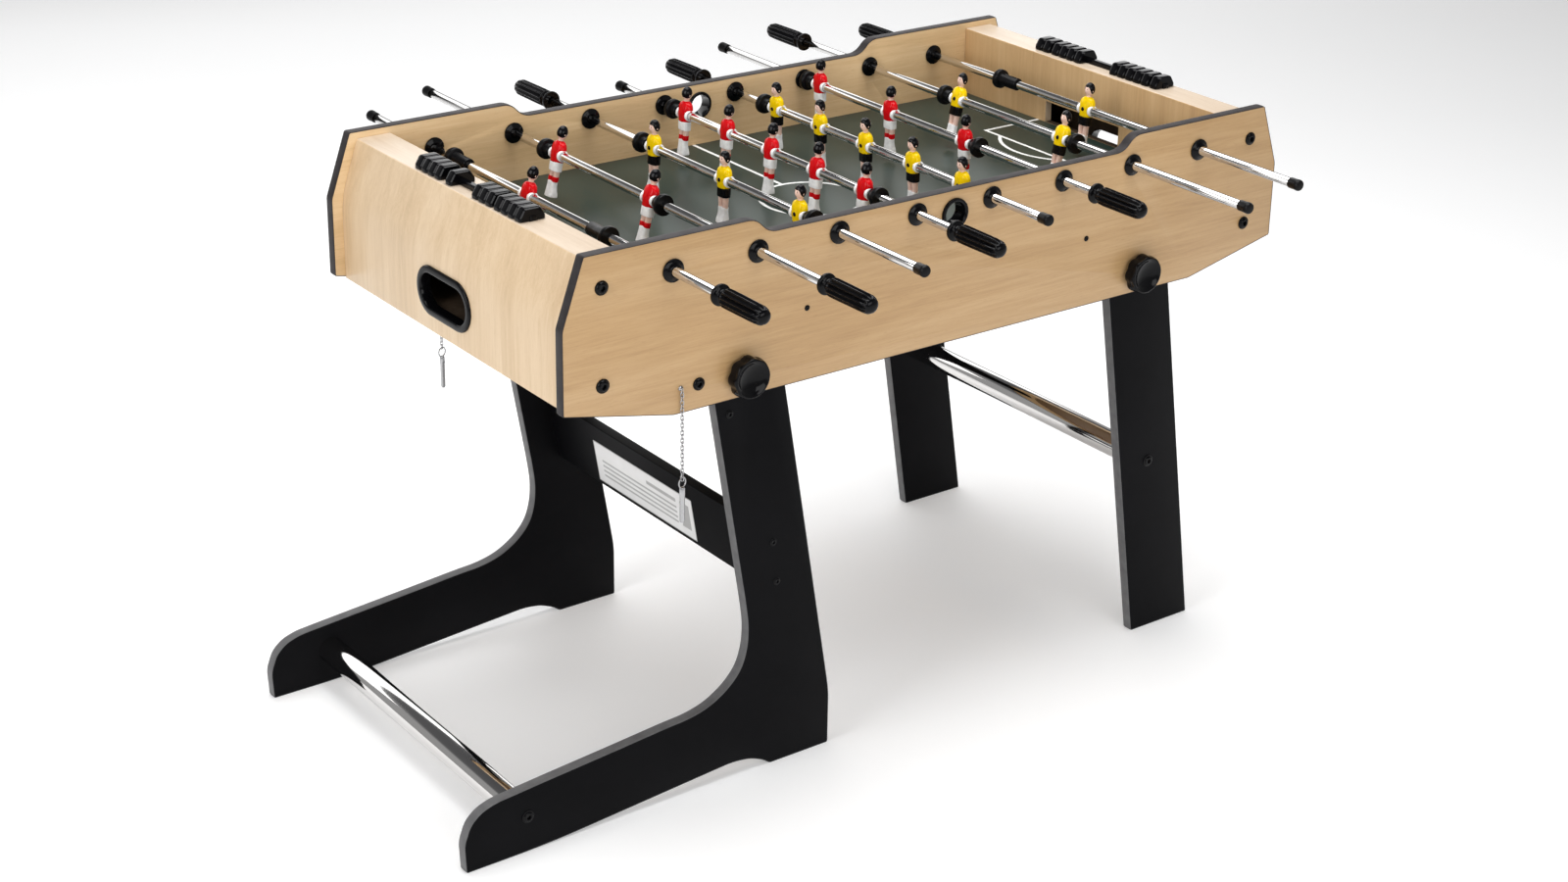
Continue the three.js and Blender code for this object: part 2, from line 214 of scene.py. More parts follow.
def ball(x, y, z, rx, ry, rz, n=10):
    """An ellipsoid from its two angles."""
    a = np.linspace(0, 2 * np.pi, n, endpoint=False)[:, None]
    b = np.linspace(0, np.pi, n // 2 + 2)[None, :]
    return skin(np.stack([x + rx * np.sin(b) * np.cos(a), y + ry * np.sin(b) * np.sin(a),
                          z + rz * np.cos(b) * np.ones_like(a)], -1), around=True)


def stack(levels, n=28, steps=20, power=2.4):
    """Superellipse rings (z, half width y, half depth x, shift x, shift y) stacked up z,
    smoothed along z and closed at both ends."""
    r = flow(levels, steps)
    a = np.linspace(0, 2 * np.pi, n, endpoint=False)[:, None]
    cx = np.sign(np.cos(a)) * np.abs(np.cos(a)) ** (2 / power)
    cy = np.sign(np.sin(a)) * np.abs(np.sin(a)) ** (2 / power)
    p = np.stack([r[:, 3] + r[:, 2] * cx, r[:, 4] + r[:, 1] * cy,
                  np.broadcast_to(r[:, 0], (n, steps))], -1)
    ends = [np.broadcast_to(np.array([r[k, 3], r[k, 4], r[k, 0]]), (n, 1, 3)) for k in (0, -1)]
    return skin(np.concatenate([ends[0], p, ends[1]], 1), around=True)


# ---- meshes into the scene -----------------------------------------------------------
def piece(name, parts, body, stands_for=(), sharp=40):
    """Joins (surface, finish) pairs into one mesh object that rides on a body; with no body it
    is left for more work and settled later."""
    stuffs = list(dict.fromkeys(m for _, m in parts))
    points, faces = together(*[s for s, _ in parts])
    index = [stuffs.index(m) for s, m in parts for _ in s[1]]
    mesh = bpy.data.meshes.new(name)
    mesh.from_pydata((points * 0.001 + MIDDLE).tolist(), [], faces)
    for m in stuffs:
        mesh.materials.append(stuff[m])
    mesh.polygons.foreach_set("material_index", index)
    b = bmesh.new()
    b.from_mesh(mesh)
    bmesh.ops.remove_doubles(b, verts=b.verts, dist=2e-6)
    bmesh.ops.recalc_face_normals(b, faces=b.faces)
    b.to_mesh(mesh)
    b.free()
    obj = bpy.data.objects.new(name, mesh)
    bpy.context.scene.collection.objects.link(obj)
    if body is not None:
        settle(obj, body, stands_for, sharp)
    return obj


def settle(obj, body, stands_for=(), sharp=40):
    """Shades a finished piece, sharp past the given angle, and says what it is in the part."""
    obj.data.shade_smooth()
    obj.data.set_sharp_from_angle(angle=math.radians(sharp))
    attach(obj, body)
    if stands_for:
        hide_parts(*stands_for)


def without(obj, *cutters):
    """Takes each cutter's volume out of the piece, and throws the cutters away."""
    b = bmesh.new()
    b.from_mesh(obj.data)
    bmesh.ops.triangulate(b, faces=[f for f in b.faces if len(f.verts) > 4],
                          ngon_method="EAR_CLIP")
    b.to_mesh(obj.data)
    b.free()
    tools = [piece("cutter", [(c, "lining")], None) for c in cutters]
    for t in tools:
        cut = obj.modifiers.new("cut", "BOOLEAN")
        cut.operation, cut.solver, cut.object = "DIFFERENCE", "EXACT", t
    dg = bpy.context.evaluated_depsgraph_get()
    mesh = bpy.data.meshes.new_from_object(obj.evaluated_get(dg))
    obj.modifiers.clear()
    obj.data = mesh
    mesh.name = obj.name
    for t in tools:
        bpy.data.objects.remove(t)
    return obj


def paint_faces(obj, name, where_true):
    """Gives another finish to the faces for which a test of their middles (mm) and normals holds."""
    mesh = obj.data
    count = len(mesh.polygons)
    at, facing = np.empty(count * 3), np.empty(count * 3)
    mesh.polygons.foreach_get("center", at)
    mesh.polygons.foreach_get("normal", facing)
    chosen = where_true((at.reshape(-1, 3) - MIDDLE) * 1000, facing.reshape(-1, 3))
    slots = np.empty(count, np.int32)
    mesh.polygons.foreach_get("material_index", slots)
    slots[chosen] = len(mesh.materials)
    mesh.materials.append(stuff[name])
    mesh.polygons.foreach_set("material_index", slots)


# ---- finishes ------------------------------------------------------------------------
stuff = {}                           # the finishes by name


def finish(name, **sockets):
    """A Principled material; constants go straight on its sockets."""
    m = bpy.data.materials.new(name)
    m.use_nodes = True
    tree = m.node_tree
    bsdf = tree.nodes["Principled BSDF"]
    for k, v in sockets.items():
        key = k.replace("_", " ").title().replace("Ior", "IOR")
        bsdf.inputs[key].default_value = (*v, 1.0) if isinstance(v, tuple) else v
    stuff[name] = m
    return tree, bsdf


def feed(tree, socket, value):
    """Links a socket to an input, or sets the input to a plain value."""
    if isinstance(value, bpy.types.NodeSocket):
        tree.links.new(value, socket)
    else:
        socket.default_value = value


def node(tree, kind, inputs=(), **props):
    """Adds a shader node with its inputs fed and its other settings made."""
    n = tree.nodes.new("ShaderNode" + kind)
    for k, v in props.items():
        setattr(n, k, v)
    for k, v in dict(inputs).items():
        feed(tree, n.inputs[k], v)
    return n


def where(tree, scale=(1, 1, 1)):
    """Object coordinates from the cabinet's middle, in metres, stretched by scale."""
    c = node(tree, "TexCoord").outputs["Object"]
    shift = tuple(-MIDDLE * np.array(scale))
    return node(tree, "Mapping", {"Vector": c, "Scale": scale, "Location": shift}).outputs[0]


def noise(tree, scale, detail=2.0, rough=0.5, warp=0.0):
    """Cloudy noise with `scale` features per metre along x, y and z."""
    return node(tree, "TexNoise", {"Vector": where(tree, scale), "Scale": 1.0, "Detail": detail,
                                   "Roughness": rough, "Distortion": warp}).outputs["Fac"]


def math_node(tree, op, a, b=0.0, c=0.0):
    """One step of arithmetic on up to three numbers."""
    return node(tree, "Math", {0: a, 1: b, 2: c}, operation=op).outputs[0]


def ramp(tree, fac, *stops):
    """Colour ramp from (place, colour) stops."""
    n = node(tree, "ValToRGB", {"Fac": fac})
    e = n.color_ramp.elements
    while len(e) < len(stops):
        e.new(0.5)
    for k, (at, colour) in enumerate(stops):
        e[k].position = at
        e[k].color = (*colour, 1.0)
    return n.outputs["Color"]


def blended(tree, fac, a, b, mode="MIX"):
    """Colour a turned into colour b by the factor."""
    n = node(tree, "Mix", data_type="RGBA", blend_type=mode)
    for key, v in (("Factor", fac), ("A", a), ("B", b)):
        feed(tree, [s for s in n.inputs if s.name == key and s.enabled][0], v)
    return [s for s in n.outputs if s.enabled][0]


def bumped(tree, bsdf, height, distance, strength=1.0):
    """Fine relief, `distance` metres deep, that only tilts the shading."""
    b = node(tree, "Bump", {"Height": height, "Distance": distance, "Strength": strength})
    tree.links.new(b.outputs["Normal"], bsdf.inputs["Normal"])


def laminate(name, dark, mid, light, grain, roughness):
    """Printed beech: broad cloudy bands, long fine streaks and short dark flecks, all drawn
    out along the grain axis (0 is x, 1 is y, 2 is z)."""
    tree, bsdf = finish(name, roughness=roughness, coat_weight=0.15, coat_roughness=0.25)

    def stretched(along, across):
        """Noise scale with `along` on the grain axis and `across` on the other two."""
        s = [across] * 3
        s[grain] = along
        return tuple(s)

    bands = noise(tree, stretched(1.8, 15), 3.0, 0.55, 1.1)
    streaks = noise(tree, stretched(4.2, 95), 5.0, 0.62, 1.4)
    fine = noise(tree, stretched(22, 620), 3.0, 0.55, 0.4)
    fleck = noise(tree, stretched(95, 950), 1.0, 0.5)
    tone = math_node(tree, "MULTIPLY_ADD", bands, 0.62, math_node(
        tree, "MULTIPLY_ADD", streaks, 0.50, math_node(tree, "MULTIPLY", fine, 0.25)))
    colour = ramp(tree, tone, (0.42, dark), (0.66, mid), (0.92, light))
    dots = ramp(tree, fleck, (0.62, (1, 1, 1)), (0.74, (0.86, 0.82, 0.78)))
    tree.links.new(blended(tree, 0.55, colour, dots, "MULTIPLY"), bsdf.inputs["Base Color"])
    bumped(tree, bsdf, streaks, 0.00006, 0.35)


laminate("beech", (0.40, 0.235, 0.098), (0.50, 0.312, 0.142), (0.59, 0.39, 0.20), 0, 0.42)
# the same beech painted lighter, as painted light on the shaded inner faces of the side panels
laminate("beech_painted_light_inside", (0.57, 0.38, 0.185), (0.69, 0.475, 0.25), (0.78, 0.57, 0.33), 0, 0.42)
laminate("beech_wall", (0.46, 0.285, 0.130), (0.56, 0.36, 0.175), (0.64, 0.44, 0.23), 2, 0.42)
laminate("beech_end", (0.52, 0.37, 0.215), (0.63, 0.465, 0.29), (0.72, 0.56, 0.38), 2, 0.42)
laminate("beech_shelf", (0.48, 0.37, 0.265), (0.56, 0.45, 0.34), (0.63, 0.53, 0.42), 1, 0.40)

tree, bsdf = finish("edge_band", roughness=0.5, specular_ior_level=0.2)
tree.links.new(ramp(tree, noise(tree, (60, 60, 60), 3.0), (0.35, (0.020, 0.017, 0.018)),
                    (0.7, (0.034, 0.029, 0.030))), bsdf.inputs["Base Color"])
bumped(tree, bsdf, noise(tree, (1500, 1500, 1500)), 0.00004, 0.5)

tree, bsdf = finish("black_board", roughness=0.5, specular_ior_level=0.06)
tree.links.new(ramp(tree, noise(tree, (9, 9, 9), 4.0, 0.6), (0.3, (0.0030, 0.0030, 0.0036)),
                    (0.75, (0.0046, 0.0046, 0.0056))), bsdf.inputs["Base Color"])
bumped(tree, bsdf, noise(tree, (900, 900, 900), 3.0), 0.00005, 0.4)

tree, bsdf = finish("leg_edge", roughness=0.5)
tree.links.new(ramp(tree, noise(tree, (70, 70, 70), 3.0), (0.3, (0.085, 0.085, 0.088)),
                    (0.75, (0.125, 0.125, 0.128))), bsdf.inputs["Base Color"])
bumped(tree, bsdf, noise(tree, (1400, 1400, 1400)), 0.00004, 0.5)

for metal, colour, low, high in (("chrome", (0.66, 0.65, 0.64), 0.04, 0.09),
                                 ("zinc", (0.42, 0.42, 0.43), 0.18, 0.3)):
    tree, bsdf = finish(metal, base_color=colour, metallic=1.0)
    n = noise(tree, (70, 900, 70), 3.0)
    r = node(tree, "MapRange", {"Value": n, "From Min": 0.3, "From Max": 0.7,
                                "To Min": low, "To Max": high})
    tree.links.new(r.outputs[0], bsdf.inputs["Roughness"])
    bumped(tree, bsdf, n, 0.00001, 0.25)

for plastic, colour, low, high, grain in (
        ("moulding", (0.0024, 0.0024, 0.0030), 0.07, 0.13, 1600),
        ("rubber", (0.0036, 0.0036, 0.0042), 0.26, 0.38, 900),
        ("lining", (0.050, 0.034, 0.022), 0.5, 0.7, 500)):
    tree, bsdf = finish(plastic, specular_ior_level=0.14)
    tree.links.new(ramp(tree, noise(tree, (40, 40, 40), 3.0), (0.3, tuple(0.8 * c for c in colour)),
                        (0.75, tuple(1.25 * c for c in colour))), bsdf.inputs["Base Color"])
    r = node(tree, "MapRange", {"Value": noise(tree, (120, 120, 120), 3.0), "From Min": 0.3,
                                "From Max": 0.7, "To Min": low, "To Max": high})
    tree.links.new(r.outputs[0], bsdf.inputs["Roughness"])
    bumped(tree, bsdf, noise(tree, (grain, grain, grain), 2.0), 0.00002, 0.3)

for paint, colour in (("red_paint", (0.62, 0.004, 0.008)), ("yellow_paint", (0.86, 0.58, 0.002)),
                      ("white_paint", (0.94, 0.94, 0.94)), ("black_paint", (0.003, 0.003, 0.004)),
                      ("hair_paint", (0.003, 0.003, 0.004)), ("skin_paint", (0.86, 0.60, 0.50)),
                      ("lip_paint", (0.50, 0.16, 0.13))):
    tree, bsdf = finish(paint, roughness=0.13, specular_ior_level=0.16)
    tree.links.new(ramp(tree, noise(tree, (160, 160, 160), 2.0),
                        (0.3, tuple(0.88 * c for c in colour)),
                        (0.7, tuple(min(1.0, 1.06 * c) for c in colour))),
                   bsdf.inputs["Base Color"])
    bumped(tree, bsdf, noise(tree, (420, 420, 420), 2.0), 0.00008, 0.3)

for paper, tone in (("label", 0.80), ("label_grey", 0.42)):
    tree, bsdf = finish(paper, roughness=0.45)
    tree.links.new(ramp(tree, noise(tree, (30, 30, 30), 3.0), (0.3, (0.94 * tone,) * 3),
                        (0.7, (tone,) * 3)), bsdf.inputs["Base Color"])


def pitch_finish():
    """Printed pitch: halfway line, centre circle, goal boxes and their arcs, from the distance
    of each point to each line, over a faintly clouded green-grey; bare hardboard below."""
    tree, bsdf = finish("pitch", roughness=0.32, specular_ior_level=0.25)
    xyz = node(tree, "SeparateXYZ", {"Vector": where(tree)})
    along, over = xyz.outputs[0], xyz.outputs[1]
    x, y = (math_node(tree, "ABSOLUTE", v) for v in (along, over))

    def line(distance):
        """A printed line, 5.2 mm wide with 0.6 mm soft edges, where the distance is nought."""
        half, soft = 0.0026, 0.0003
        n = node(tree, "MapRange", {"Value": math_node(tree, "ABSOLUTE", distance),
                                    "From Min": half - soft, "From Max": half + soft,
                                    "To Min": 1.0, "To Max": 0.0})
        return n.outputs[0]

    def minus(a, b):
        """a less b."""
        return math_node(tree, "SUBTRACT", a, b)

    def radius(a, b):
        """Length of the arrow (a, b)."""
        return math_node(tree, "SQRT", math_node(
            tree, "ADD", math_node(tree, "MULTIPLY", a, a), math_node(tree, "MULTIPLY", b, b)))

    def both(a, b):
        """Where a and b hold together: their product."""
        return math_node(tree, "MULTIPLY", a, b)

    ring, box_front, box_side, spot_x, arc_ring = 0.073, 0.405, 0.107, 0.472, 0.099
    from_spot = radius(math_node(tree, "ADD", along, 0.013), math_node(tree, "ADD", over, 0.008))
    marks = both(line(math_node(tree, "ADD", along, 0.011)),
                 math_node(tree, "GREATER_THAN", from_spot, ring))
    circle = line(minus(from_spot, ring))
    front = both(line(minus(x, box_front)), math_node(tree, "LESS_THAN", y, box_side + 0.0026))
    sides = both(line(minus(y, box_side)), math_node(tree, "GREATER_THAN", x, box_front - 0.0026))
    arc = both(line(minus(radius(minus(x, spot_x), y), arc_ring)),
               math_node(tree, "LESS_THAN", x, box_front - 0.0024))
    for m in (circle, front, sides, arc):
        marks = math_node(tree, "MAXIMUM", marks, m)
    ground = ramp(tree, noise(tree, (5, 5, 5), 4.0, 0.6), (0.3, (0.018, 0.031, 0.025)),
                  (0.7, (0.026, 0.041, 0.034)))
    worn = ramp(tree, noise(tree, (90, 90, 90), 3.0), (0.3, (0.66, 0.67, 0.66)),
                (0.6, (0.80, 0.81, 0.80)))
    upper = math_node(tree, "GREATER_THAN", xyz.outputs[2], (PITCH_TOP - 1.5) / 1000)
    bare = ramp(tree, noise(tree, (260, 260, 260), 4.0), (0.3, (0.150, 0.092, 0.050)),
                (0.7, (0.215, 0.138, 0.080)))
    tree.links.new(blended(tree, upper, bare, blended(tree, marks, ground, worn)),
                   bsdf.inputs["Base Color"])
    bumped(tree, bsdf, noise(tree, (420, 420, 420), 2.0), 0.00002, 0.3)


pitch_finish()


# ---- cabinet ---------------------------------------------------------------------------
def panel_outline():
    """A side panel's outline: level top with a lower middle, sloped ends, raked bottom ends."""
    right = [(301, PANEL_MID_TOP), (321, PANEL_TOP), (574, PANEL_TOP), (605.5, 716),
             (606, 605), (445, PANEL_BOTTOM)]
    left = [(-x, z) for x, z in reversed(right)]
    reach = [13, 13, 3, 4, 3, 3]
    return eased(right + left, reach + reach[::-1], 8)


def strip(y0, y1):
    """Section of an edge band: a strip over a board's edge, crowned by a fourth power, whose
    flat underside is sunk into the board."""
    sink = 0.4
    t = np.linspace(0, 1, 7)
    crown = EDGE_BAND - 0.55 * (2 * t - 1) ** 4 * EDGE_BAND
    top = np.stack([crown, y0 + (y1 - y0) * t], 1)
    return np.vstack([top, [[-sink, y1], [-sink, y0]]])


outline = panel_outline()
core = outline - normals(outline) * EDGE_BAND
for name, side in SIDES:
    y0, y1 = sorted((side * OUTER, side * INNER))
    panel = piece(f"panel_{name}", [(board(core, y0, y1, 0.25), "beech")], None)
    holes = [bore(ROD_HOLE, x, ROD_Z, y0, y1, 24) for x in ROD_X]
    holes.append(bore(ENTRY_RADIUS, 0, ENTRY_Z, y0, y1, 48))
    holes += [bore(PIVOT_RADIUS, x, PIVOT_Z, y0, y1, 20) for x in (-PIVOT_X, PIVOT_X)]
    without(panel, *holes)
    # inward faces get the lighter copy of the beech: painted light where the panel's inner face lies
    # in shade
    paint_faces(panel, "beech_painted_light_inside", lambda at, facing: -side * facing[:, 1] > 0.7)
    settle(panel, "cabinet", [f"side_panel_{name}"], 30)
    piece(f"panel_edge_{name}", [(banded(core, strip(y0 - 0.2, y1 + 0.2)), "edge_band")],
          "cabinet", sharp=35)


def stadium(width, height, n=16):
    """Two half circles joined by straight sides, in the (y, z) plane."""
    r, c = height / 2, width / 2 - height / 2
    a = np.linspace(-np.pi / 2, np.pi / 2, n)
    right = np.stack([c + r * np.cos(a), r * np.sin(a)], 1)
    return np.vstack([right, -right])


def across(surface):
    """Turns a shape made along y with an (x, z) outline so that it lies along x instead."""
    p, f = surface
    return p[:, [1, 0, 2]], f


for name, side, hole_y in (("left", -1, 10.0), ("right", 1, -1.0)):
    t = END_BOARD
    section = [(END_FACE, END_BOTTOM), (END_FACE, 716), (SHELF_EDGE, SHELF_TOP),
               (GOAL_WALL, SHELF_TOP), (GOAL_WALL, TRAY_TOP - t), (END_FACE - t, TRAY_TOP - t),
               (END_FACE - t, END_BOTTOM)]
    pocket = [(END_FACE - t, TRAY_TOP), (END_FACE - t, 714), (SHELF_EDGE - t + 4, SHELF_TOP - t),
              (GOAL_WALL + t, SHELF_TOP - t), (GOAL_WALL + t, TRAY_TOP)]
    body = eased([(side * x, z) for x, z in section], [1, 26, 2.2, 1.6, 1, 1, 1], 8)
    hollow = eased([(side * x, z) for x, z in pocket], 1, 2)
    box = piece(f"end_box_shell_{name}", [(board(body, -289.5, 289.5, 0.2), "beech_end")], None)
    near, beyond, sill = side * (GOAL_WALL - 4), side * (GOAL_WALL + t + 4), PITCH_TOP + 0.2
    mouth = np.array([(near, sill), (beyond, sill), (beyond, 725), (near, 725)], float)
    opening = stadium(RETURN_WIDTH, RETURN_HEIGHT) + [hole_y, RETURN_Z]
    hole = across(board(opening, side * (END_FACE - 25), side * (END_FACE + 6), 0))
    without(box, board(hollow, -300, 300, 0), board(mouth, -72, 92, 0), hole)

    # finishes of its faces: shelf top, wall towards the pitch, and the hollow behind it
    paint_faces(box, "beech_shelf", lambda at, facing: (at[:, 2] > SHELF_TOP - 0.5)
                & (facing[:, 2] > 0.7))
    paint_faces(box, "beech_wall", lambda at, facing: (side * at[:, 0] < GOAL_WALL + 0.5)
                & (np.abs(facing[:, 0]) > 0.7))
    paint_faces(box, "lining", lambda at, facing: (side * at[:, 0] > GOAL_WALL + 1)
                & (side * at[:, 0] < END_FACE - 1) & (at[:, 2] > 620) & (at[:, 2] < SHELF_TOP - 1.5)
                & (np.abs(facing[:, 1]) < 0.5)
                & ~((facing[:, 0] * side > 0.5) & (side * at[:, 0] > 555) & (at[:, 2] > 700)))
    settle(box, "cabinet", [f"end_box_{name}"], 32)

    # flat oval rim of the ball return, with its short inner wall
    rim = [(-1.0, -12), (-1.0, 2.4), (-0.3, 3.4), (1.0, 3.7), (7.0, 3.6), (8.4, 3.0), (9.1, 1.6),
           (9.1, 0.2), (0.3, 0.2), (0.3, -12)]
    piece(f"ball_return_rim_{name}", [(across(banded(
        stadium(RETURN_WIDTH, RETURN_HEIGHT, 20) + [hole_y, RETURN_Z],
        [(o, side * (END_FACE + d)) for o, d in rim])), "moulding")], "cabinet", sharp=50)

# pitch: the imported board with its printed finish
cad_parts["playfield"].data.materials.clear()
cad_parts["playfield"].data.materials.append(stuff["pitch"])

# rings of the ball entries
ring = [(16.2, -10.5), (16.2, 9.5), (17.2, 11.2), (19, 11.8), (21, 11.2), (21.6, 9.5), (21.6, 7.8),
        (17, 7.6), (17, -7.6), (20.5, -7.8), (20.5, -9.4), (19.5, -10.8), (17.4, -11.2)]
for name, side in SIDES:
    lined = turned(ring, 0, side * PANEL_MIDDLE, ENTRY_Z, 56, True, side < 0)
    piece(f"ball_entry_ring_{name}", [(lined, "moulding")], "cabinet", sharp=50)

# rod bearings: a flange and a collar on each face of the panel, joined by a sleeve
bearing = [(6.6, -12.4), (6.6, 14.0), (7.3, 14.6), (9.2, 13.8), (10.4, 12.0), (11.4, 11.2),
           (14.6, 10.6), (15.4, 9.6), (15.4, 8.5), (14.8, 7.7), (7.4, 7.6), (7.4, -7.6),
           (14.2, -7.7), (15, -8.6), (15, -10), (14, -10.8), (10.6, -11.2), (9.4, -12), (7.6, -12.4)]
for i, x in enumerate(ROD_X):
    for name, side in SIDES:
        bush = turned(bearing, x, side * PANEL_MIDDLE, ROD_Z, 40, True, side < 0)
        piece(f"bearing_{i + 1}_{name}", [(bush, "moulding")], "cabinet", sharp=50)


def screw_head(x, y, z, r, h, out, socket=0.36):
    """A domed head with a washer rim and a round recess, turned about y and facing `out`."""
    profile = [(0, 0.15 * h), (socket * r, 0.2 * h), (socket * r, 0.85 * h), (0.5 * r, h),
               (0.68 * r, 0.86 * h), (0.8 * r, 0.5 * h), (0.84 * r, 0.36 * h), (r, 0.3 * h),
               (1.02 * r, 0.12 * h), (r, 0), (0, 0)]
    return turned(profile, x, y, z, 32, False, out < 0)


for name, side in SIDES:
    y = side * (OUTER + PROUD)
    heads = [screw_head(x, y, z, 9.4, 4.2, side) for x in (-549, 549) for z in (634, 761.5)]
    heads.append(screw_head(-407.6, y, 604, 8.6, 4.0, side))
    heads += [screw_head(x, y, 670, 4.0, 1.6, side, 0.3) for x in (-240, 240)]
    piece(f"panel_bolts_{name}", [(together(*heads), "moulding")], "cabinet", sharp=45)


# ---- score counters ------------------------------------------------------------------
def counter(x, y0, length):
    """One counter: a rounded trapezoid section over the rail that shrinks towards both ends by
    the fifth power of the way from the middle."""
    w, height = 19.0, 17.0
    loop = eased([(-w, 0), (w, 0), (w, 5.2), (w - 7.2, height), (-w + 7.2, height), (-w, 5.2)],
                 [0.8, 0.8, 2.2, 3.0, 3.0, 2.2], 4)
    t = np.linspace(0, 1, 11)
    swell = 1 - 0.13 * np.abs(2 * t - 1) ** 5
    mid = np.array([0.0, height * 0.42])
    xz = mid + (loop[:, None, :] - mid) * swell[None, :, None]
    xz[..., 1] = np.maximum(xz[..., 1], 0.0)
    return capped(np.stack([x + xz[..., 0], np.broadcast_to(y0 + length * t, xz.shape[:2]),
                            SHELF_TOP + 0.35 + xz[..., 1]], -1))


# per end: side, (place, count) of the groups that stay put, place of the one that slides
SCORES = {"left": (-1, [(-136, 4), (-64, 3), (67, 4)], 38.0),
          "right": (1, [(-135, 1), (-116, 5), (49, 3), (103, 2)], 32.0)}
COUNTER_STEP = 17.0
for name, (side, blocks, slider) in SCORES.items():
    x = side * RAIL_X
    bar = board(eased([(x - 5, SHELF_TOP + 0.3), (x + 5, SHELF_TOP + 0.3), (x + 5, 803.6),
                       (x - 5, 803.6)], [0.4, 0.4, 2.4, 2.4], 5), -137, 137, 0.8)
    piece(f"score_bar_{name}", [(bar, "moulding")], "cabinet", [f"score_rail_{name}"])
    k = 0
    for y0, count in blocks:
        for j in range(count):
            k += 1
            bead = counter(x, y0 + COUNTER_STEP * j, 16.4)
            piece(f"score_bead_{name}_{k}", [(bead, "moulding")], "cabinet",
                  [f"score_rail_{name}"])
    piece(f"score_slider_{name}", [(counter(x, slider, 16.3), "moulding")],
          f"score_counter_{name}", [f"score_counter_{name}"])


# ---- players ---------------------------------------------------------------------------
def head_point(a, b):
    """Point of the face from the turn a and the tilt b from the crown: an ellipsoid narrowed at
    the jaw, with a small nose."""
    jaw = 1 - 0.20 * np.clip(-np.cos(b), 0, 1) ** 1.4
    x, y, z = np.sin(b) * np.cos(a), np.sin(b) * np.sin(a), np.cos(b)
    nose = 0.12 * np.exp(-((a / 0.20) ** 2) - ((b - 1.74) / 0.20) ** 2)
    return np.stack([x * 7.5 * jaw, y * 6.9 * jaw, z * 9.6], -1) * (1 + nose)[..., None]


HEAD = [0.6, 0, 29.6]                # middle of the head, from the rod's axis


